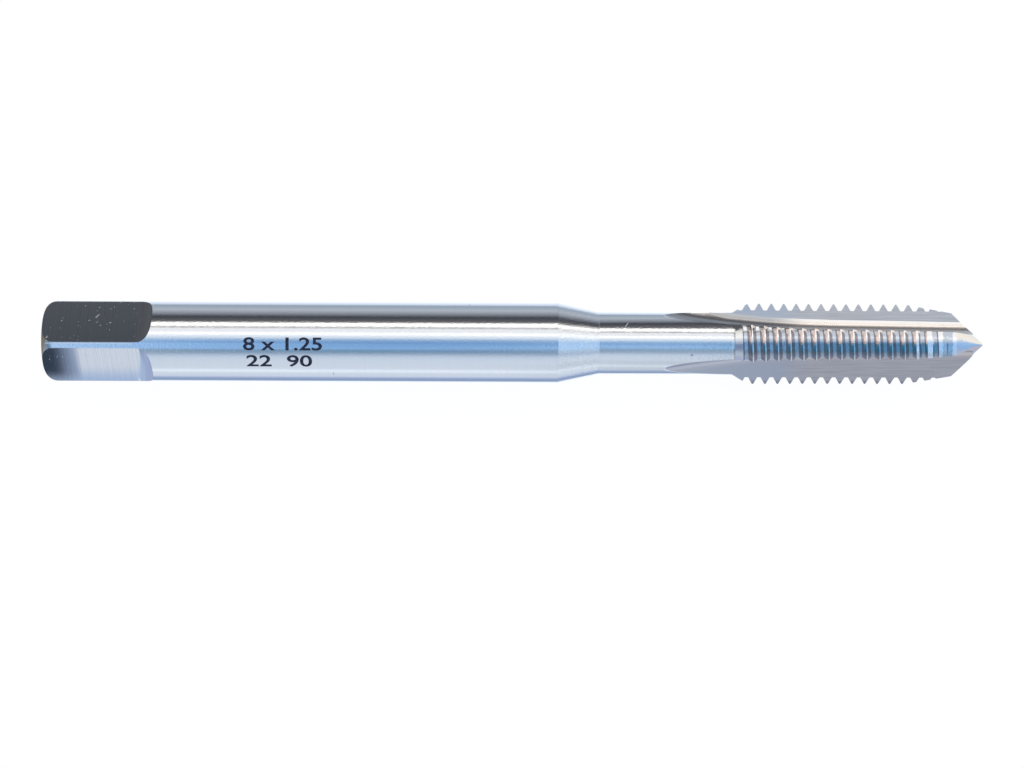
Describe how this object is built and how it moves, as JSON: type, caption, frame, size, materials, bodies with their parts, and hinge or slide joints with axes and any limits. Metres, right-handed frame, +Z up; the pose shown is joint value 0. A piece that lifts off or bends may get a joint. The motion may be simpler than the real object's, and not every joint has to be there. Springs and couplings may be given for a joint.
{
  "type": "thread tap",
  "caption": "Straight-fluted machine tap for metric internal threads, with a round shank, square drive end, slim neck and pointed tip.",
  "frame": {"origin": "on the tap's axis at the drive end face", "axes": "+X along the axis from the drive end to the point, +Z up as the tap lies on its shank"},
  "size_m": [0.0936, 0.008, 0.008],
  "materials": {
    "steel": "ground bright on the shank, neck and thread, matte on the square's flats and in the flutes"
  },
  "bodies": {
    "root": {"thread_tap": "steel"}
  },
  "joints": []
}
